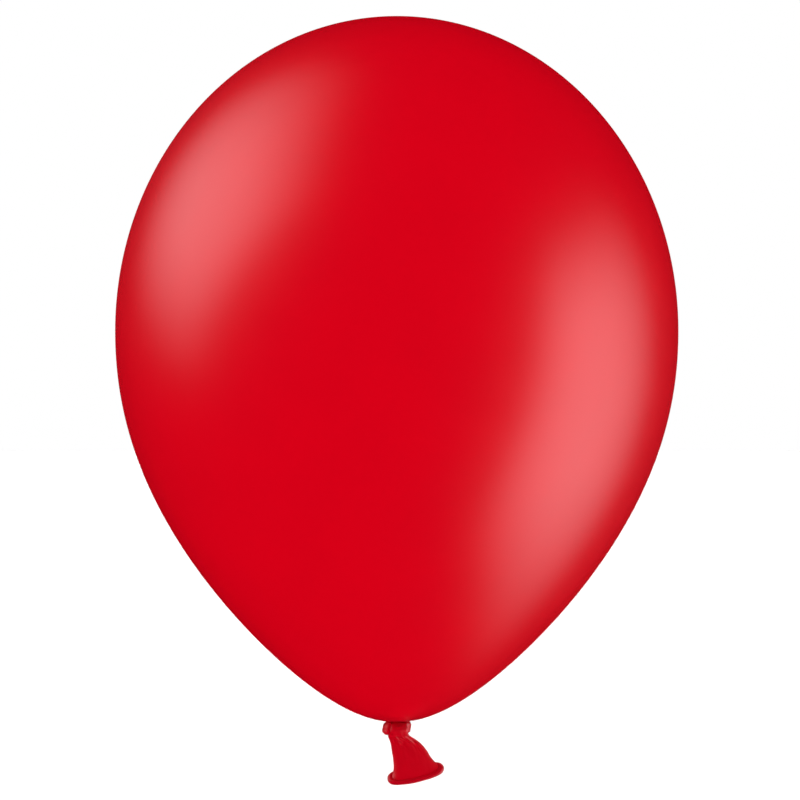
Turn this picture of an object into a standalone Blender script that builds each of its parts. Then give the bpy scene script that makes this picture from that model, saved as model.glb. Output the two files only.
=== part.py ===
"""A tied, inflated latex balloon, 280 mm across, with its neck at the bottom.

Frame: the origin is the neck crease, where the film is gathered into the knot. +Z runs up the
balloon's axis to the crown, and +X is the side that the tail leans to.
The real balloon is one dipped skin of latex. Each stretch of it is its own body here, in the
order envelope, neck, knot, tail root, tail skirt, rolled lip.
"""

import math

import bmesh
import bpy
from mathutils import Vector

MM = 0.001
GAP = 0.3 * MM  # left between two stretches of the skin

# Envelope: the inflated film, a turned shape that is open only at the neck.
BODY_RADIUS = 140.0 * MM
CROWN_HEIGHT = 156.5 * MM  # from the widest ring up to the crown
TAPER_HEIGHT = 194.6 * MM  # from the widest ring down to the neck crease
TAPER_PULL = 0.335  # how far the lower half is drawn in at the neck
TAPER_POWER = 2.3  # how late that pull sets in
FILM_WALL = 0.010 * MM  # the stretched film
NECK_EXTRA_WALL = 0.20 * MM  # the film is hardly stretched beside the knot
NECK_WALL_REACH = 6.0 * MM
NECK_HOLE_RADIUS = 2.4 * MM
ENVELOPE_SEGMENTS = 48
CROWN_RINGS = 13
TAPER_RINGS = 17

# Neck: the pleated plug where the film passes out of the envelope.
NECK_TOP = 1.8 * MM
NECK_BOTTOM = -0.55 * MM
NECK_RADIUS = 1.85 * MM
NECK_PLEATS = 9
PLEAT_DEPTH = 0.07  # of a pleated section's size

# Knot: a strand down the middle, the loop that passes behind it from side to side, and the
# strand that crosses over in front, between the loop's two ends.
CORE_RADIUS = 1.85 * MM
CORE_BOTTOM = -7.6 * MM
LOOP_RADIUS = 4.75 * MM  # to the middle of the roll
LOOP_FROM_DEG, LOOP_TO_DEG = -46.0, 226.0
LOOP_START_Z, LOOP_END_Z = -2.9 * MM, -4.2 * MM
ROLL_HALF_WIDTH = 2.35 * MM
ROLL_HALF_HEIGHT = 2.6 * MM
ROLL_END_SIZE = 0.6  # the roll's ends, where they tuck in, against its full section
OVER_PATH = ((0.0, -3.3, -1.0), (0.0, -5.9, -2.2), (0.1, -6.0, -5.2), (0.9, -3.4, -7.2))
OVER_HALF_WIDTH, OVER_SPREAD = 2.3 * MM, 1.7 * MM  # at the top, and what it gains by the bottom
OVER_HALF_DEPTH = 1.1 * MM

# Tail: Bezier points (x, z) of its left and right edges, from the knot to the lip.
ROOT_LEFT = ((-4.1, -7.95), (-3.5, -9.0), (-3.15, -10.2), (-2.95, -11.2))
ROOT_RIGHT = ((8.0, -7.95), (9.6, -8.8), (11.2, -10.1), (12.2, -11.2))
SKIRT_LEFT = ((-2.9, -11.5), (-1.7, -17.0), (-0.6, -23.0), (-3.2, -26.6))
SKIRT_RIGHT = ((12.4, -11.5), (16.5, -14.2), (15.5, -19.0), (21.7, -21.0))
ROOT_HALF_DEPTH = 2.0 * MM
TAIL_WALL = 0.3 * MM
TAIL_SEGMENTS = 48
ROOT_PLEATS = 12
ROOT_RINGS = 5
SKIRT_RINGS = 13

# Lip: the rolled bead round the mouth. The mouth is a flat oval that leans to the front.
LIP_CENTRE = Vector((9.35, 0.0, -25.65)) * MM
LIP_RISE_DEG = 12.5  # its right end stands higher
LIP_TILT_DEG = 48.0  # its front run hangs lower than its back run
MOUTH_HALF_LENGTH = 11.2 * MM
MOUTH_HALF_DEPTH = 2.45 * MM
BEAD_STANDOFF = 1.7 * MM  # from the mouth's oval to the middle of the bead
BEAD_RADIUS = 1.15 * MM
BEAD_END_SWELL = 0.35 * MM  # the bead is fatter where it turns at either end
BEAD_SIDES = 10

# Joint axes.
FOLD_AXIS = Vector((0.0, 0.0, -8.8)) * MM
SWING_AXIS = Vector((4.0, 0.0, -12.5)) * MM


def latex(name, colour, roughness):
    """A Principled material with one of the balloon's reds."""
    material = bpy.data.materials.new(name)
    material.use_nodes = True
    shader = material.node_tree.nodes["Principled BSDF"]
    shader.inputs["Base Color"].default_value = (*colour, 1.0)
    shader.inputs["Roughness"].default_value = roughness
    shader.inputs["Metallic"].default_value = 0.0
    return material


def put_in_scene(name, bm, origin, material):
    """One object from a closed bmesh, with its own origin and its faces turned outwards."""
    bmesh.ops.recalc_face_normals(bm, faces=bm.faces)
    bmesh.ops.translate(bm, verts=bm.verts, vec=-origin)
    mesh = bpy.data.meshes.new(name)
    bm.to_mesh(mesh)
    bm.free()
    mesh.shade_smooth()
    mesh.set_sharp_from_angle(angle=math.radians(40))
    mesh.materials.append(material)
    body = bpy.data.objects.new(name, mesh)
    body.location = origin
    bpy.context.scene.collection.objects.link(body)
    return body


def skinned(rings, round_trip=False):
    """A closed bmesh through a row of rings, capped at both ends or joined last to first."""
    bm = bmesh.new()
    rows = [[bm.verts.new(point) for point in ring] for ring in rings]
    following = rows[1:] + rows[:1] if round_trip else rows[1:]
    for row, after in zip(rows, following):
        for here, there in zip(range(len(row)), [*range(1, len(row)), 0]):
            bm.faces.new((row[here], row[there], after[there], after[here]))
    if not round_trip:
        for row in (rows[0], rows[-1]):
            middle = bm.verts.new(sum((v.co for v in row), Vector()) / len(row))
            for here, there in zip(row, row[1:] + row[:1]):
                bm.faces.new((here, there, middle))
    return bm


def turns(count):
    """The angles of count points round a full turn."""
    return [2 * math.pi * i / count for i in range(count)]


def steps(count):
    """count + 1 even steps from 0 to 1."""
    return [i / count for i in range(count + 1)]


def bezier(points, along):
    """A point of a Bezier curve through space, given in millimetres."""
    rest = 1 - along
    weights = (rest**3, 3 * rest**2 * along, 3 * rest * along**2, along**3)
    return sum((Vector(p) * w for w, p in zip(weights, points)), Vector((0.0, 0.0, 0.0))) * MM


def edge_point(points, along):
    """A point of one of the tail's edges, which are given as (x, z)."""
    return bezier([(x, 0.0, z) for x, z in points], along)


def depth_direction(across, tilt):
    """The way a flat section of the tail faces, square to its width and tilted from -Y."""
    down = Vector((across.z, 0.0, -across.x)).normalized()
    return Vector((0.0, -1.0, 0.0)) * math.cos(tilt) + down * math.sin(tilt)


def envelope_profile():
    """(radius, height) down the outside of the envelope, from the crown to the neck hole."""
    widest = TAPER_HEIGHT
    profile = []
    for step in steps(CROWN_RINGS)[:-1]:
        angle = (1 - step) * math.pi / 2
        profile.append((BODY_RADIUS * math.cos(angle), widest + CROWN_HEIGHT * math.sin(angle)))
    last = math.acos(NECK_HOLE_RADIUS / (BODY_RADIUS * (1 - TAPER_PULL)))
    for step in steps(TAPER_RINGS):
        angle = step * last
        pull = 1 - TAPER_PULL * math.sin(angle) ** TAPER_POWER
        profile.append((BODY_RADIUS * math.cos(angle) * pull, widest * (1 - math.sin(angle))))
    profile[0] = (0.0, widest + CROWN_HEIGHT)
    return [Vector((radius, 0.0, height)) for radius, height in profile]


def envelope(material):
    """The film, turned about Z from an outer profile and an inner one that follows it."""
    outside = envelope_profile()
    inside = []
    to_neck = 0.0
    for i in reversed(range(len(outside))):
        before, after = outside[max(i - 1, 0)], outside[min(i + 1, len(outside) - 1)]
        run = (after - before).normalized()
        inward = Vector((run.z, 0.0, -run.x)) if i else Vector((0.0, 0.0, -1.0))
        wall = FILM_WALL + NECK_EXTRA_WALL * math.exp(-to_neck / NECK_WALL_REACH)
        inside.append(outside[i] + inward * wall)
        to_neck += (outside[i] - outside[max(i - 1, 0)]).length
    mesh = bpy.data.meshes.new("envelope")
    profile = outside + inside
    mesh.from_pydata(profile, [(i, i + 1) for i in range(len(profile) - 1)], [])
    mesh.materials.append(material)
    body = bpy.data.objects.new("envelope", mesh)
    bpy.context.scene.collection.objects.link(body)
    turn = body.modifiers.new("Turn", "SCREW")
    turn.axis = "Z"
    turn.steps = turn.render_steps = ENVELOPE_SEGMENTS
    turn.use_merge_vertices = True
    turn.merge_threshold = 1e-6
    turn.use_smooth_shade = True
    return body


def neck_gather(material):
    """The pleated plug of film in the neck hole."""
    rings = []
    for step in steps(4):
        height = NECK_BOTTOM + (NECK_TOP - NECK_BOTTOM) * step
        size = NECK_RADIUS * (1 - 0.25 * step**3)
        rings.append([])
        for angle in turns(4 * NECK_PLEATS):
            radius = size * (1 + PLEAT_DEPTH * math.cos(NECK_PLEATS * angle))
            rings[-1].append(Vector((radius * math.cos(angle), radius * math.sin(angle), height)))
    return put_in_scene("neck_gather", skinned(rings), Vector(), material)


def knot_core(material):
    """The strand down the middle of the knot."""
    top = NECK_BOTTOM - GAP
    rings = []
    for step in steps(4):
        height = top + (CORE_BOTTOM - top) * step
        rings.append([
            Vector((CORE_RADIUS * math.cos(angle), CORE_RADIUS * math.sin(angle), height))
            for angle in turns(20)
        ])
    return put_in_scene("knot_core", skinned(rings), Vector(), material)


def knot_wrap(material):
    """The loop: a fat roll round the back of the core, its ends drawn in."""
    rings = []
    for step in steps(30):
        bearing = math.radians(LOOP_FROM_DEG + (LOOP_TO_DEG - LOOP_FROM_DEG) * step)
        out = Vector((math.cos(bearing), math.sin(bearing), 0.0))
        middle = out * LOOP_RADIUS
        middle.z = LOOP_START_Z + (LOOP_END_Z - LOOP_START_Z) * step
        fullness = math.sin(math.pi * min(0.5, 4 * min(step, 1 - step)))
        size = ROLL_END_SIZE + (1 - ROLL_END_SIZE) * fullness
        rings.append([
            middle
            + out * (ROLL_HALF_WIDTH * size * math.cos(angle))
            + Vector((0.0, 0.0, ROLL_HALF_HEIGHT * size * math.sin(angle)))
            for angle in turns(16)
        ])
    return put_in_scene("knot_wrap", skinned(rings), Vector(), material)


def knot_over(material):
    """The flat strand that comes down over the front of the knot."""
    rings = []
    for step in steps(10):
        run = bezier(OVER_PATH, min(step + 0.01, 1.0)) - bezier(OVER_PATH, max(step - 0.01, 0.0))
        out = run.cross(Vector((1.0, 0.0, 0.0))).normalized() * OVER_HALF_DEPTH
        across = Vector((OVER_HALF_WIDTH + OVER_SPREAD * step, 0.0, 0.0))
        rings.append([
            bezier(OVER_PATH, step) + across * math.cos(a) + out * math.sin(a) for a in turns(20)
        ])
    return put_in_scene("knot_over", skinned(rings), Vector(), material)


def tail_root(material):
    """The pleated throat that leaves the knot, flat in Y and widening downwards."""
    rings = []
    for step in steps(ROOT_RINGS):
        left, right = edge_point(ROOT_LEFT, step), edge_point(ROOT_RIGHT, step)
        middle, across = (left + right) / 2, (right - left) / 2
        depth = depth_direction(across, 0.0) * ROOT_HALF_DEPTH
        pleat = PLEAT_DEPTH * (1 - 0.5 * step)
        rings.append([
            middle
            + across * math.cos(angle)
            + depth * (math.sin(angle) * (1 + pleat * math.cos(ROOT_PLEATS * angle)))
            for angle in turns(TAIL_SEGMENTS)
        ])
    return put_in_scene("tail_root", skinned(rings), FOLD_AXIS, material)


def lip_axes():
    """The directions along the mouth's oval, across it to the front, and square to both."""
    rise = math.radians(LIP_RISE_DEG)
    along = Vector((math.cos(rise), 0.0, math.sin(rise)))
    front = depth_direction(along, math.radians(LIP_TILT_DEG))
    return along, front, along.cross(front)


def lip_line(angle):
    """A point of the bead's middle line, and the line's direction there."""
    along, front, _ = lip_axes()
    oval = Vector((MOUTH_HALF_LENGTH * math.cos(angle), MOUTH_HALF_DEPTH * math.sin(angle)))
    out = Vector((math.cos(angle) / MOUTH_HALF_LENGTH, math.sin(angle) / MOUTH_HALF_DEPTH))
    out.normalize()
    flat = oval + out * BEAD_STANDOFF
    point = LIP_CENTRE + along * flat.x + front * flat.y
    return point, (front * out.x - along * out.y).normalized()


def bead_radius(angle):
    """The bead's thickness, which swells where it turns."""
    return BEAD_RADIUS + BEAD_END_SWELL * math.cos(angle) ** 6


def tail_skirt(material):
    """The flared end of the tail: a flattened tube of film, open at the mouth."""
    mouth_depth = MOUTH_HALF_DEPTH + BEAD_STANDOFF
    ends = []  # where the film stops, a gap above the bead
    for angle in turns(TAIL_SEGMENTS):
        point, run = lip_line(angle)
        up = (Vector((0.0, 0.0, 1.0)) - run * run.z).normalized()
        ends.append(point + up * (bead_radius(angle) + GAP + TAIL_WALL / 2))

    def ring(step, wall):
        left, right = edge_point(SKIRT_LEFT, step), edge_point(SKIRT_RIGHT, step)
        middle, across = (left + right) / 2, (right - left) / 2
        facing = depth_direction(across, math.radians(LIP_TILT_DEG) * step**2)
        half_depth = ROOT_HALF_DEPTH + (mouth_depth - ROOT_HALF_DEPTH) * step**1.5
        across = across * (1 - wall / across.length)
        depth = facing * (half_depth - wall)
        return [middle + across * math.cos(a) + depth * math.sin(a) for a in turns(TAIL_SEGMENTS)]

    onto_lip = [end - last for end, last in zip(ends, ring(1.0, 0.0))]

    def fitted(step, wall):
        return [point + shift * step**2 for point, shift in zip(ring(step, wall), onto_lip)]

    outside = [fitted(step, 0.0) for step in steps(SKIRT_RINGS)]
    inside = [fitted(step, TAIL_WALL) for step in reversed(steps(SKIRT_RINGS))]
    bm = skinned(outside + inside, round_trip=True)
    return put_in_scene("tail_skirt", bm, SWING_AXIS, material)


def lip_bead(material):
    """The rolled rim of the mouth, one closed ring."""
    square = lip_axes()[2]
    rings = []
    for angle in turns(TAIL_SEGMENTS):
        middle, run = lip_line(angle)
        out = run.cross(square)
        rings.append([
            middle + (square * math.cos(a) + out * math.sin(a)) * bead_radius(angle)
            for a in turns(BEAD_SIDES)
        ])
    bm = skinned(rings, round_trip=True)
    return put_in_scene("lip_bead", bm, SWING_AXIS, material)


def main():
    for old in list(bpy.data.objects):
        bpy.data.objects.remove(old)
    envelope(latex("latex_film", (0.68, 0.0, 0.009), 0.32))
    neck_gather(latex("latex_neck", (0.48, 0.0, 0.008), 0.38))
    knot_core(latex("latex_core", (0.46, 0.0, 0.008), 0.38))
    knot_wrap(latex("latex_knot", (0.50, 0.0, 0.008), 0.36))
    knot_over(latex("latex_strand", (0.50, 0.0, 0.008), 0.36))
    tail_root(latex("latex_root", (0.50, 0.0, 0.008), 0.40))
    tail_skirt(latex("latex_tail", (0.52, 0.0, 0.008), 0.40))
    lip_bead(latex("latex_lip", (0.47, 0.0, 0.008), 0.36))


main()
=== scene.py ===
"""The looks of a tied latex balloon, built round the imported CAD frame.

Row frame, metres: the origin is the neck crease, +Z runs up to the crown, -Y is the front, and +X
is the side that the tail leans to. Only the tail's stations are in millimetres.
"""

import math

import bpy
import numpy as np
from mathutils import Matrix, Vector


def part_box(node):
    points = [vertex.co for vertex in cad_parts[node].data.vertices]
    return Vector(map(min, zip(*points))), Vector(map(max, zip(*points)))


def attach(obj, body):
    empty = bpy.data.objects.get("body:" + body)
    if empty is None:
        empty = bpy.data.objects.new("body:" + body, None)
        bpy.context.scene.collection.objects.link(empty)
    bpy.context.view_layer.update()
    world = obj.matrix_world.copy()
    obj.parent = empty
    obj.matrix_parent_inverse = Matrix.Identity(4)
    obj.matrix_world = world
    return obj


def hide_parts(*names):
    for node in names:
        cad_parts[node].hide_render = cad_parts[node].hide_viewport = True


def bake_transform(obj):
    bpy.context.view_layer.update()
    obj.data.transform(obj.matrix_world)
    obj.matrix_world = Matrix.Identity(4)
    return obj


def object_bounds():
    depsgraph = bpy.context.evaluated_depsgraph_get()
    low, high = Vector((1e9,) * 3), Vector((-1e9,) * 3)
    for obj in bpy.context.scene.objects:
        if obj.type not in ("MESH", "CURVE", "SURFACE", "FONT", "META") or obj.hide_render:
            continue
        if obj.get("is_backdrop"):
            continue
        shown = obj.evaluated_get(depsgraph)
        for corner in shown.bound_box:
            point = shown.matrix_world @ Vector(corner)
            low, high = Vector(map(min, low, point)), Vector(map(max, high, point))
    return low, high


MM = 0.001

# Envelope: the same outline as the CAD film, much finer, with the gathers round the neck.
TAPER_PULL = 0.335  # how far the lower half is drawn in at the neck
TAPER_POWER = 2.3  # how late that pull sets in
AROUND = 260
CROWN_RINGS = 70
FIRST_RING = 0.006  # of the way from the crown's middle to the widest ring
TAPER_RINGS = 130
FILLET_RADIUS = 4.6 * MM  # where the film starts to turn down into the neck
STRAND_RADIUS = 2.0 * MM
STRAND_TOP, STRAND_BOTTOM = -1.2 * MM, -2.6 * MM
NECK_PLEATS = (26, 41)
NECK_PLEAT_DEPTH = 0.30 * MM
NECK_PLEAT_REACH = 4.5 * MM  # how fast the pleats fade away from the neck
NECK_PLEAT_TOP = 20.0 * MM  # no pleats above this height

# Knot: the loop behind the core, and the core strand.
LOOP_RADIUS = 4.75 * MM
LOOP_FROM_DEG, LOOP_TO_DEG = -68.0, 251.0
LOOP_START_Z, LOOP_END_Z = -2.6 * MM, -2.9 * MM
LOOP_TUCK = 0.07  # the share of its length, at either end, where it narrows under the front strand
TUCKED_SIZE = 0.45  # of its full size, at either end
TUCKED_IN = 1.1 * MM  # how far its ends move in towards the core
ROLL_HALF_WIDTH = 2.45 * MM
ROLL_HALF_HEIGHT = 3.4 * MM
ROLL_LEAN = 0.15  # how far it leans to the right, against its height
ROLL_SLIMMING = 0.22  # how much less high it is behind the knot, where it is pulled tight
ROLL_FULLNESS = 2.5  # of its section: 2 is an ellipse, and more is boxier
ROLL_CREASES = 0.13  # depth against its half width
ROLL_TWIST = 1.9  # radians that its creases wind round it on their way
CORE_RADIUS = 1.95 * MM
CORE_TOP, CORE_BOTTOM = 0.3 * MM, -8.0 * MM
CORE_TAPER_FROM = -3.5 * MM  # below this it sinks forward into the throat of the tail
CORE_SINK = 1.6 * MM
CORE_CREASES = 0.16  # depth against its radius
CORE_TAPER = 0.4  # how much thinner its lower end is

# Film of the front strand and the tail, one loft: left edge (x, z), right edge (x, z), middle's y,
# half depth. It runs from the neck over the front of the knot and down to the mouth.
STATIONS = (
    (-2.3, 1.0, 3.3, 1.0, -2.6, 1.2),
    (-2.9, -0.6, 4.7, -0.6, -4.3, 1.5),
    (-3.1, -2.4, 5.5, -2.4, -5.2, 1.7),
    (-3.4, -4.3, 5.7, -4.2, -5.1, 2.0),
    (-4.1, -6.0, 5.9, -5.9, -3.3, 2.5),
    (-4.3, -7.3, 7.1, -7.1, -1.4, 2.7),
    (-3.7, -8.8, 9.5, -8.6, -0.5, 2.4),
    (-3.1, -10.5, 11.7, -10.3, 0.0, 2.1),
    (-2.8, -12.2, 13.5, -12.2, 0.0, 2.0),
    (-2.45, -14.8, 15.3, -14.6, 0.0, 2.1),
    (-1.9, -18.0, 16.5, -16.8, 0.0, 2.5),
    (-1.6, -21.3, 18.0, -18.6, 0.0, 3.1),
    (-1.8, -24.2, 19.6, -19.8, 0.0, 3.6),
    (-3.2, -26.8, 21.7, -21.1, 0.0, 4.1),
)
THROAT_END = 7.6  # in stations: the throat piece stops here
SKIRT_START = 7.3  # and the skirt piece starts here, just inside it
POCKET_TOP = 8.6  # the hollow of the skirt closes here
MORPH_START = 10.0  # from here down the film turns onto the bead's line
SECTION_FULLNESS = 2.4
SECTION_LEAN = 0.28  # how much deeper the film's left side is than its middle
CREASE_DEPTH, FAINT_CREASE_DEPTH = 0.75 * MM, 0.10 * MM  # at the deepest station, and everywhere
CREASE_AT, CREASE_SPREAD = 6.0, 2.2  # in stations
FILM_WALL = 0.28 * MM
SEAM_INSET = 0.02 * MM

# Lip
LIP_CENTRE = Vector((9.35, 0.0, -25.65)) * MM
LIP_RISE_DEG = 12.5
LIP_TILT_DEG = 48.0
MOUTH_HALF_LENGTH = 11.2 * MM
MOUTH_HALF_DEPTH = 2.45 * MM
BEAD_STANDOFF = 1.7 * MM
BEAD_RADIUS = 1.15 * MM
BEAD_END_SWELL = 0.35 * MM
LIP_EDGE_AT = 2.4  # radians round the bead's section, from its outer side: where the roll's edge lies
LIP_EDGE_DEPTH = 0.07
LIP_EDGE_WIDTH = 0.16  # radians
LIP_PUCKER = 0.05  # of the small wrinkles across it, on the side of the mouth
SHARP_EDGE_DEG = 60.0  # edges sharper than this aren't shaded smooth

# Latex
CLOUD_SCALE, CLOUD_SHARE = 28.0, 0.12  # faint clouds of deeper colour
SMEAR_SCALE, SMEAR_ROUGHNESS = 60.0, 0.04  # duller smears in the sheen
THICK_BELOW = 5.0 * MM  # the film gets thicker, so deeper in colour, from here down to the crease
CROWN_SPOT_CORE, CROWN_SPOT_EDGE = 4.0 * MM, 11.0 * MM  # radii of the thick spot on the crown
GRAIN_HEIGHT = 0.01 * MM
LATEX_IOR = 1.52

# Stage and camera
CAMERA_DISTANCE = 2.5
VIEW_WIDTH = 0.3982  # metres across the picture at the balloon
VIEW_CENTRE = Vector((0.0016, 0.0, 0.1603))
SENSOR = 0.036
FLOOR_DROP = 0.14  # from the lip down to the floor
CENTRE = Vector((0.0, 0.0, 0.17))  # of the envelope, where the lamps face
SOFTBOX_DISTANCE = 3.0
AMBIENT = 1.2  # brightness of the even light


# ---------------------------------------------------------------- mesh helpers


def turns(count):
    """The angles of count points round a full turn."""
    return np.linspace(0.0, 2 * math.pi, count, endpoint=False)


def mesh_piece(name, points, faces, material):
    """A smooth-shaded object from points in the row frame."""
    mesh = bpy.data.meshes.new(name)
    mesh.from_pydata([tuple(p) for p in points], [], faces)
    mesh.validate()
    mesh.shade_smooth()
    mesh.set_sharp_from_angle(angle=math.radians(SHARP_EDGE_DEG))
    mesh.materials.append(material)
    piece = bpy.data.objects.new(name, mesh)
    bpy.context.scene.collection.objects.link(piece)
    return piece


def loft(name, rings, material, round_trip=False):
    """A closed piece through rings of points, capped at both ends or joined last to first."""
    rings = np.asarray(rings)
    rows, columns = rings.shape[:2]
    points = list(rings.reshape(-1, 3))
    faces = []
    for row in range(rows if round_trip else rows - 1):
        here, there = row * columns, (row + 1) % rows * columns
        for column in range(columns):
            after = (column + 1) % columns
            faces.append((here + column, here + after, there + after, there + column))
    if not round_trip:
        for row, flip in ((0, True), (rows - 1, False)):
            points.append(rings[row].mean(axis=0))
            middle = len(points) - 1
            for column in range(columns):
                edge = (row * columns + column, row * columns + (column + 1) % columns)
                faces.append((*(reversed(edge) if flip else edge), middle))
    return mesh_piece(name, points, faces, material)


def pleats(angle, along, counts, phase=0.0):
    """Gathers of film, from 0 in a valley to 1 on a ridge: round ridges with sharp valleys between."""
    height, weight = 0.0, 1.0
    for i, count in enumerate(counts):
        drift = 0.6 * math.sin(1.3 * along + 2.1 * i + phase)
        height = height + weight * np.abs(np.cos(count * angle / 2 + drift + i + phase))
        weight *= 0.55
    return height / sum(0.55**i for i in range(len(counts)))


def full_ellipse(angle, fullness):
    """Across and up coordinates of a superellipse: 2 is a true ellipse."""
    across, up = np.cos(angle), np.sin(angle)
    power = 2 / fullness
    return np.sign(across) * np.abs(across) ** power, np.sign(up) * np.abs(up) ** power


def smooth_step(value):
    value = np.clip(value, 0.0, 1.0)
    return value * value * (3 - 2 * value)


# ---------------------------------------------------------------- envelope


def envelope_profile():
    """(radius, height) from just off the crown's middle down into the neck strand."""
    low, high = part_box("envelope")
    radius = high.x
    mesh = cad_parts["envelope"].data
    widest = max(mesh.vertices, key=lambda v: v.co.xy.length).co.z
    crown, taper = high.z - widest, widest
    profile = []
    for step in np.linspace(FIRST_RING, 1.0, CROWN_RINGS, endpoint=False):
        angle = (1 - step) * math.pi / 2
        profile.append((radius * math.cos(angle), widest + crown * math.sin(angle)))
    last = math.acos(FILLET_RADIUS / (radius * (1 - TAPER_PULL)))
    for step in np.linspace(0.0, 1.0, TAPER_RINGS):
        angle = last * (1 - (1 - step) ** 1.5)
        pull = 1 - TAPER_PULL * math.sin(angle) ** TAPER_POWER
        profile.append((radius * math.cos(angle) * pull, taper * (1 - math.sin(angle))))
    start = Vector(profile[-1])
    corner, end = Vector((STRAND_RADIUS, 0.0)), Vector((STRAND_RADIUS, STRAND_TOP))
    for step in np.linspace(0.0, 1.0, 16)[1:]:
        profile.append(tuple(start * (1 - step) ** 2 + corner * 2 * step * (1 - step) + end * step**2))
    for step in np.linspace(0.0, 1.0, 6)[1:]:
        profile.append((STRAND_RADIUS, STRAND_TOP + (STRAND_BOTTOM - STRAND_TOP) * step))
    return profile


def envelope_skin(material):
    """The film, with shallow gathers that fade out a few millimetres from the neck."""
    angle = turns(AROUND)
    profile = envelope_profile()
    rings = []
    for i, (radius, height) in enumerate(profile):
        before, after = profile[max(i - 1, 0)], profile[min(i + 1, len(profile) - 1)]
        run = Vector((after[0] - before[0], after[1] - before[1])).normalized()
        fade = 0.0
        if height < NECK_PLEAT_TOP:
            fade = math.exp(-max(radius - STRAND_RADIUS, 0.0) / NECK_PLEAT_REACH)
        depth = NECK_PLEAT_DEPTH * fade * (1 - pleats(angle, 0.0, NECK_PLEATS))
        around = radius + depth * run.y
        up = height - depth * run.x
        rings.append(np.stack([around * np.cos(angle), around * np.sin(angle), up], axis=1))
    piece = loft("envelope_skin", rings, material)
    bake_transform(piece)
    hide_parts("envelope", "neck_gather")
    return piece


# ---------------------------------------------------------------- knot


def loop_roll(material):
    """The bunched film of the loop: it leaves the front strand at one side and comes back at the other."""
    angle = turns(128)
    side, up = full_ellipse(angle, ROLL_FULLNESS)
    rings = []
    for step in np.linspace(0.0, 1.0, 150):
        bearing = math.radians(LOOP_FROM_DEG + (LOOP_TO_DEG - LOOP_FROM_DEG) * step)
        out = np.array([math.cos(bearing), math.sin(bearing), 0.0])
        tuck = float(smooth_step(min(step, 1 - step) / LOOP_TUCK))
        size = TUCKED_SIZE + (1 - TUCKED_SIZE) * tuck
        middle = out * (LOOP_RADIUS - TUCKED_IN * (1 - tuck))
        middle[2] = LOOP_START_Z + (LOOP_END_Z - LOOP_START_Z) * step
        ridge = 1 - ROLL_CREASES * (1 - pleats(angle + ROLL_TWIST * step, 4 * step, (7, 13, 27)))
        height = ROLL_HALF_HEIGHT * (1 - ROLL_SLIMMING * max(math.sin(bearing), 0.0) ** 2)
        rings.append(
            middle
            + np.outer(ROLL_HALF_WIDTH * size * side * ridge, out)
            + np.outer(height * size * up * ridge, (ROLL_LEAN, 0.0, 1.0))
        )
    piece = loft("knot_loop", rings, material)
    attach(piece, "knot")
    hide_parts("knot_wrap")
    return piece


def core_strand(material):
    """The pleated strand down through the loop."""
    angle = turns(96)
    rings = []
    for step in np.linspace(0.0, 1.0, 60):
        height = CORE_TOP + (CORE_BOTTOM - CORE_TOP) * step
        sunk = float(smooth_step((CORE_TAPER_FROM - height) / (CORE_TAPER_FROM - CORE_BOTTOM)))
        radius = CORE_RADIUS * (1 - CORE_CREASES * (1 - pleats(angle, 3 * step, (8, 15, 27), phase=2.0)))
        radius = radius * (1 - CORE_TAPER * sunk)
        x, y = radius * np.cos(angle), radius * np.sin(angle) - CORE_SINK * sunk
        rings.append(np.stack([x, y, np.full_like(angle, height)], axis=1))
    piece = loft("knot_strand", rings, material)
    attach(piece, "knot")
    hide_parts("knot_core")
    return piece


# ---------------------------------------------------------------- tail


def station(at):
    """The loft's station at a fractional place, on a Catmull-Rom spline through the list, in metres."""
    table = np.array(STATIONS)
    i = int(min(math.floor(at), len(table) - 2))
    t = at - i
    p0, p1, p2, p3 = (table[min(max(j, 0), len(table) - 1)] for j in (i - 1, i, i + 1, i + 2))
    spline = p1 + 0.5 * t * (p2 - p0 + t * (2 * p0 - 5 * p1 + 4 * p2 - p3 + t * (3 * (p1 - p2) + p3 - p0)))
    return spline * MM


def facing(across, tilt):
    """The way a flat section faces, square to its width and tilted down from the front."""
    down = np.array([across[2], 0.0, -across[0]]) / math.hypot(across[0], across[2])
    return np.array([0.0, -1.0, 0.0]) * math.cos(tilt) + down * math.sin(tilt)


def lip_line(angle):
    """Points of the bead's middle line, and the out and square directions of its section."""
    rise = math.radians(LIP_RISE_DEG)
    along = np.array([math.cos(rise), 0.0, math.sin(rise)])
    front = facing(along, math.radians(LIP_TILT_DEG))
    out = np.stack([np.cos(angle) / MOUTH_HALF_LENGTH, np.sin(angle) / MOUTH_HALF_DEPTH], axis=1)
    out /= np.linalg.norm(out, axis=1, keepdims=True)
    flat = np.stack([MOUTH_HALF_LENGTH * np.cos(angle), MOUTH_HALF_DEPTH * np.sin(angle)], axis=1)
    flat += out * BEAD_STANDOFF
    points = np.array(LIP_CENTRE) + np.outer(flat[:, 0], along) + np.outer(flat[:, 1], front)
    return points, np.outer(out[:, 0], along) + np.outer(out[:, 1], front), np.cross(along, front)


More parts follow.
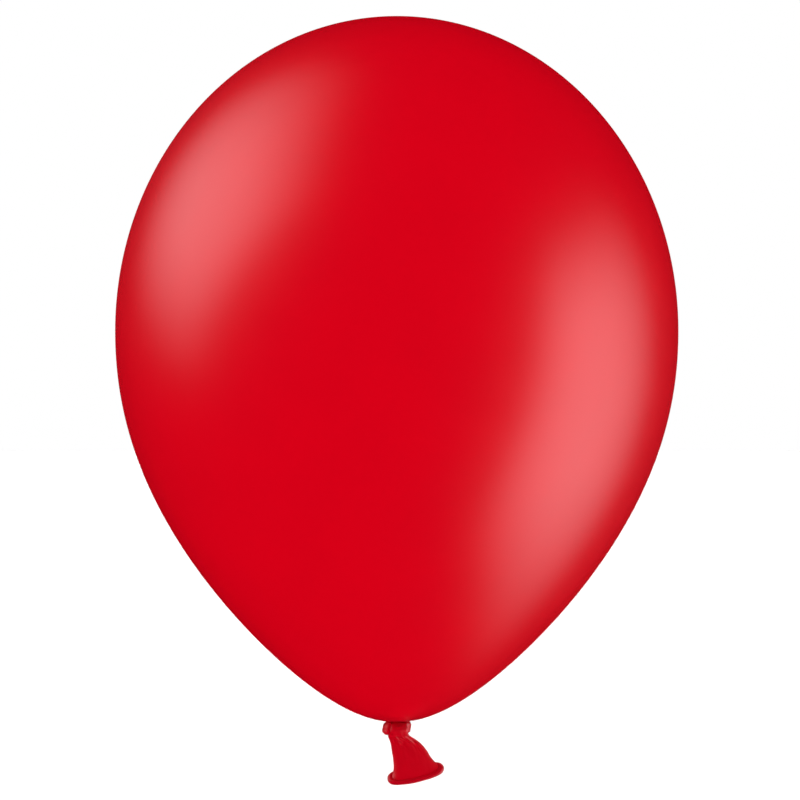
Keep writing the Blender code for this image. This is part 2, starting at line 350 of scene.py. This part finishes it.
def film_ring(at, angle, inset=0.0):
    """One section of the loft. inset draws it in, for the film's inner face."""
    left_x, left_z, right_x, right_z, middle_y, half_depth = station(at)
    left, right = np.array([left_x, middle_y, left_z]), np.array([right_x, middle_y, right_z])
    across = (right - left) / 2
    progress = max(at - SKIRT_START, 0.0) / (len(STATIONS) - 1 - SKIRT_START)
    front = facing(across, math.radians(LIP_TILT_DEG) * progress**2)
    width = np.linalg.norm(across)
    crease = CREASE_DEPTH * math.exp(-(((at - CREASE_AT) / CREASE_SPREAD) ** 2)) + FAINT_CREASE_DEPTH
    fold = crease * (pleats(angle, at, (9, 15, 29), phase=0.4) - 0.7)
    side, up = full_ellipse(angle, SECTION_FULLNESS)
    depth = (half_depth * (1 - SECTION_LEAN * side) - inset + fold) * up
    return (left + right) / 2 + np.outer(side, across * (1 - inset / width)) + np.outer(depth, front)


def film_rings(places, angle, inset=0.0):
    """Sections of the loft, which turn onto the bead's line as they near the mouth."""
    last = len(STATIONS) - 1
    lip, out, _ = lip_line(angle)
    onto_lip = lip - out * inset - film_ring(last, angle, inset)
    rings = []
    for at in places:
        share = float(np.clip((at - MORPH_START) / (last - MORPH_START), 0.0, 1.0)) ** 2
        rings.append(film_ring(at, angle, inset) + onto_lip * share)
    return rings


def throat(material):
    """The front strand and the pleated throat, down to where the skirt takes over."""
    angle = turns(160)
    piece = loft("tail_throat", film_rings(np.linspace(0.0, THROAT_END, 130), angle), material)
    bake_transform(piece)
    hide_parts("knot_over", "tail_root")
    return piece


def skirt(material):
    """The flared, hollow end of the tail, its film's real thickness round an open pocket."""
    angle = turns(160)
    last = len(STATIONS) - 1
    outside = film_rings(np.linspace(SKIRT_START, last, 110), angle, SEAM_INSET)
    inside = film_rings(np.linspace(last, POCKET_TOP, 90), angle, FILM_WALL)
    piece = loft("tail_film", outside + inside, material)
    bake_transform(piece)
    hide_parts("tail_skirt")
    return piece


def lip_roll(material):
    """The rolled rim: a ring of slightly uneven thickness, puckered across, with the roll's edge line."""
    angle = turns(520)
    middle, out, square = lip_line(angle)
    uneven = 0.03 * np.cos(3 * angle + 1.0) + 0.02 * np.cos(7 * angle)
    radius = (BEAD_RADIUS + BEAD_END_SWELL * np.cos(angle) ** 6) * (1 + uneven)
    section = turns(56)
    rings = []
    for i, bearing in enumerate(angle):
        pucker = pleats(np.array([bearing]), 0.0, (46, 74, 31))[0] - 0.6
        inner_side = smooth_step((np.cos(section - LIP_EDGE_AT) - 0.2) / 0.8)
        from_line = section - LIP_EDGE_AT - 0.15 * math.sin(4 * bearing)
        line = np.exp(-((from_line / LIP_EDGE_WIDTH) ** 2))
        size = radius[i] * (1 + LIP_PUCKER * pucker * inner_side - LIP_EDGE_DEPTH * line)
        outward, along = np.outer(size * np.cos(section), out[i]), np.outer(size * np.sin(section), square)
        rings.append(middle[i] + outward + along)
    piece = loft("lip_roll", rings[::-1], material, round_trip=True)
    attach(piece, "tail")
    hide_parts("lip_bead")
    return piece


# ---------------------------------------------------------------- materials


def node(tree, kind, **inputs):
    """A shader node with some of its inputs set, or linked where a socket is given."""
    made = tree.nodes.new(kind)
    for name, value in inputs.items():
        socket = made.inputs[name.replace("_", " ")]
        if isinstance(value, bpy.types.NodeSocket):
            tree.links.new(value, socket)
        else:
            socket.default_value = value
    return made


def math_node(tree, operation, first, second):
    """A sum, product or the like of two sockets or numbers."""
    made = tree.nodes.new("ShaderNodeMath")
    made.operation = operation
    for socket, value in zip(made.inputs, (first, second)):
        if isinstance(value, bpy.types.NodeSocket):
            tree.links.new(value, socket)
        else:
            socket.default_value = value
    return made.outputs[0]


def mix_colour(tree, factor, first, second):
    """A mix of two colours, each a colour or a socket."""
    mix = tree.nodes.new("ShaderNodeMix")
    mix.data_type = "RGBA"
    for index, value in ((0, factor), (6, first), (7, second)):
        if isinstance(value, bpy.types.NodeSocket):
            tree.links.new(value, mix.inputs[index])
        else:
            mix.inputs[index].default_value = value
    return mix.outputs[2]


def faded(tree, value, start, end):
    """0 before start and 1 past end, smoothly."""
    spread = node(tree, "ShaderNodeMapRange", Value=value, From_Min=start, From_Max=end)
    spread.interpolation_type = "SMOOTHSTEP"
    return spread.outputs[0]


def latex(name, colour, deep, roughness, grain=0.0):
    """Dipped latex: even pigment with faint clouds, deeper where the film is thick, and a satin skin.

    grain is the scale of a fine grain, which only the unstretched latex has."""
    material = bpy.data.materials.new(name)
    material.use_nodes = True
    tree = material.node_tree
    shader = tree.nodes["Principled BSDF"]
    place = tree.nodes.new("ShaderNodeTexCoord").outputs["Object"]
    clouds = node(tree, "ShaderNodeTexNoise", Vector=place, Scale=CLOUD_SCALE, Detail=3.0).outputs["Fac"]
    cloudy = math_node(tree, "MULTIPLY", faded(tree, clouds, 0.25, 0.75), CLOUD_SHARE)
    height = node(tree, "ShaderNodeSeparateXYZ", Vector=place).outputs["Z"]
    thick = faded(tree, height, THICK_BELOW, 0.0)
    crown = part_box("envelope")[1].z
    from_crown = node(tree, "ShaderNodeVectorMath", Vector=place)
    from_crown.operation = "DISTANCE"
    from_crown.inputs[1].default_value = (0.0, 0.0, crown)
    spot = faded(tree, from_crown.outputs["Value"], CROWN_SPOT_EDGE, CROWN_SPOT_CORE)
    thickness = math_node(tree, "MAXIMUM", thick, spot)
    pigment = mix_colour(tree, thickness, (*colour, 1.0), (*deep, 1.0))
    tree.links.new(mix_colour(tree, cloudy, pigment, (*deep, 1.0)), shader.inputs["Base Color"])
    smears = node(tree, "ShaderNodeTexNoise", Vector=place, Scale=SMEAR_SCALE, Detail=4.0).outputs["Fac"]
    dullest = roughness + SMEAR_ROUGHNESS
    satin = node(tree, "ShaderNodeMapRange", Value=smears, To_Min=roughness, To_Max=dullest)
    tree.links.new(satin.outputs[0], shader.inputs["Roughness"])
    if grain:
        skin = node(tree, "ShaderNodeTexNoise", Vector=place, Scale=grain, Detail=2.0).outputs["Fac"]
        bump = node(tree, "ShaderNodeBump", Height=skin, Strength=0.1, Distance=GRAIN_HEIGHT)
        tree.links.new(bump.outputs[0], shader.inputs["Normal"])
    shader.inputs["IOR"].default_value = LATEX_IOR
    return material


# ---------------------------------------------------------------- stage


def floor():
    """A plain pale floor under the balloon."""
    mesh = bpy.data.meshes.new("floor")
    half, height = 30.0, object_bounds()[0].z - FLOOR_DROP
    corners = [(x * half, y * half, height) for x, y in ((-1, -1), (1, -1), (1, 1), (-1, 1))]
    mesh.from_pydata(corners, [], [(0, 1, 2, 3)])
    material = bpy.data.materials.new("floor")
    material.use_nodes = True
    shader = material.node_tree.nodes["Principled BSDF"]
    shader.inputs["Base Color"].default_value = (0.93, 0.93, 0.93, 1.0)
    shader.inputs["Roughness"].default_value = 0.9
    shader.inputs["Specular IOR Level"].default_value = 0.0
    mesh.materials.append(material)
    ground = bpy.data.objects.new("floor", mesh)
    bpy.context.scene.collection.objects.link(ground)
    ground.visible_glossy = False
    ground.visible_diffuse = False
    ground.visible_shadow = False
    ground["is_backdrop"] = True


def lamp_object(name, lamp, place, target):
    """Puts a lamp at place, facing target, where the camera doesn't see it."""
    box = bpy.data.objects.new(name, lamp)
    box.location = place
    box.rotation_euler = (Vector(target) - Vector(place)).to_track_quat("-Z", "Y").to_euler()
    box.visible_camera = False
    bpy.context.scene.collection.objects.link(box)
    return box


def softbox(name, bearings_deg, elevations_deg, lean_deg, strength):
    """A big lamp with faded edges that shows only as a highlight in the sheen.

    Seen from the balloon, it starts at the first bearing from the front, is at its brightest
    between the second and the third, and ends at the fourth. Its elevations go the same way. Then
    it is leant about its own middle, its top towards a larger bearing."""
    middle = [math.radians((span[0] + span[-1]) / 2) for span in (bearings_deg, elevations_deg)]
    half = [math.tan(math.radians((span[-1] - span[0]) / 2)) for span in (bearings_deg, elevations_deg)]
    bearing, elevation = middle
    way = Vector((math.sin(bearing), -math.cos(bearing), 0)) * math.cos(elevation)
    way.z = math.sin(elevation)
    lamp = bpy.data.lights.new(name, "AREA")
    lamp.shape = "RECTANGLE"
    lamp.size, lamp.size_y = (2 * SOFTBOX_DISTANCE * extent for extent in half)
    lamp.energy = strength * math.pi * lamp.size * lamp.size_y
    lamp.use_nodes = True
    tree = lamp.node_tree
    place = tree.nodes.new("ShaderNodeNewGeometry").outputs["Parametric"]
    place = node(tree, "ShaderNodeSeparateXYZ", Vector=place)
    glow = 1.0
    for i, span in enumerate((bearings_deg, elevations_deg)):
        for edge, full in ((0.0, span[1]), (1.0, span[2])):
            full = 0.5 + 0.5 * math.tan(math.radians(full) - middle[i]) / half[i]
            glow = math_node(tree, "MULTIPLY", faded(tree, place.outputs[i], edge, full), glow)
    tree.links.new(glow, tree.nodes["Emission"].inputs["Strength"])
    box = lamp_object(name, lamp, CENTRE + way * SOFTBOX_DISTANCE, CENTRE)
    box.rotation_euler.rotate_axis("Z", -math.radians(lean_deg))
    box.visible_diffuse = False
    return box


def sky(name, upward):
    """Half of the even light from all sides. It has no mirror image in the sheen."""
    lamp = bpy.data.lights.new(name, "SUN")
    lamp.angle = math.pi
    lamp.energy = AMBIENT * math.pi
    lamp.cycles.use_multiple_importance_sampling = False
    half = lamp_object(name, lamp, CENTRE, CENTRE + Vector((0, 0, 1 if upward else -1)))
    half.visible_glossy = False
    return half


def light():
    """Even light from all sides, and a softbox at each side of the balloon."""
    world = bpy.data.worlds.new("surround")
    world.use_nodes = True
    world.node_tree.nodes["Background"].inputs["Color"].default_value = (1.0, 1.0, 1.0, 1.0)
    world.node_tree.nodes["Background"].inputs["Strength"].default_value = 1.0
    for ray in ("diffuse", "glossy", "transmission", "scatter"):
        setattr(world.cycles_visibility, ray, False)
    bpy.context.scene.world = world
    sky("sky", upward=False)
    sky("floor_light", upward=True)
    softbox("left_softbox", (-137, -88, -79, -58), (-6, 28, 38, 78), 27, 2.95)
    softbox("right_softbox", (53, 74, 80, 131), (-65, -29, 0, 30), -5, 3.45)


def camera():
    """Level with the balloon's middle, with a long lens."""
    lens = bpy.data.cameras.new("camera")
    lens.sensor_width = SENSOR * 1000
    lens.lens = SENSOR * 1000 * CAMERA_DISTANCE / VIEW_WIDTH
    lens.clip_end = 100.0
    eye = bpy.data.objects.new("camera", lens)
    eye.location = VIEW_CENTRE + Vector((0.0, -CAMERA_DISTANCE, 0.0))
    eye.rotation_euler = (math.pi / 2, 0.0, 0.0)
    bpy.context.scene.collection.objects.link(eye)
    bpy.context.scene.camera = eye


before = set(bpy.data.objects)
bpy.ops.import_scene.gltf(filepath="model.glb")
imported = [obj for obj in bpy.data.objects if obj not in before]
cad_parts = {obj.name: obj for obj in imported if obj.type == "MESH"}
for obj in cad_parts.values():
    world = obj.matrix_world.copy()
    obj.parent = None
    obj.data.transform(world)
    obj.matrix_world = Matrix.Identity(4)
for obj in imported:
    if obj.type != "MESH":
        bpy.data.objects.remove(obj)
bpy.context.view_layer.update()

camera()
light()
floor()
bpy.context.scene.view_settings.view_transform = "Standard"

film = latex("latex_film", (0.60, 0.0, 0.0075), (0.44, 0.0, 0.0065), 0.278)
thick_film = latex("latex_thick", (0.53, 0.0, 0.008), (0.48, 0.0, 0.0075), 0.36, 2500.0)
# The rolled rim's colour is deeper for its thicker latex, and darker still all over as painted shade,
# which stands in for the lesser light from below.
rolled_film_deep_and_shaded = latex("latex_rolled_deep_and_shaded", (0.45, 0.0, 0.0075), (0.40, 0.0, 0.007), 0.36, 2500.0)
envelope_skin(film)
loop_roll(thick_film)
core_strand(thick_film)
throat(thick_film)
skirt(thick_film)
lip_roll(rolled_film_deep_and_shaded)
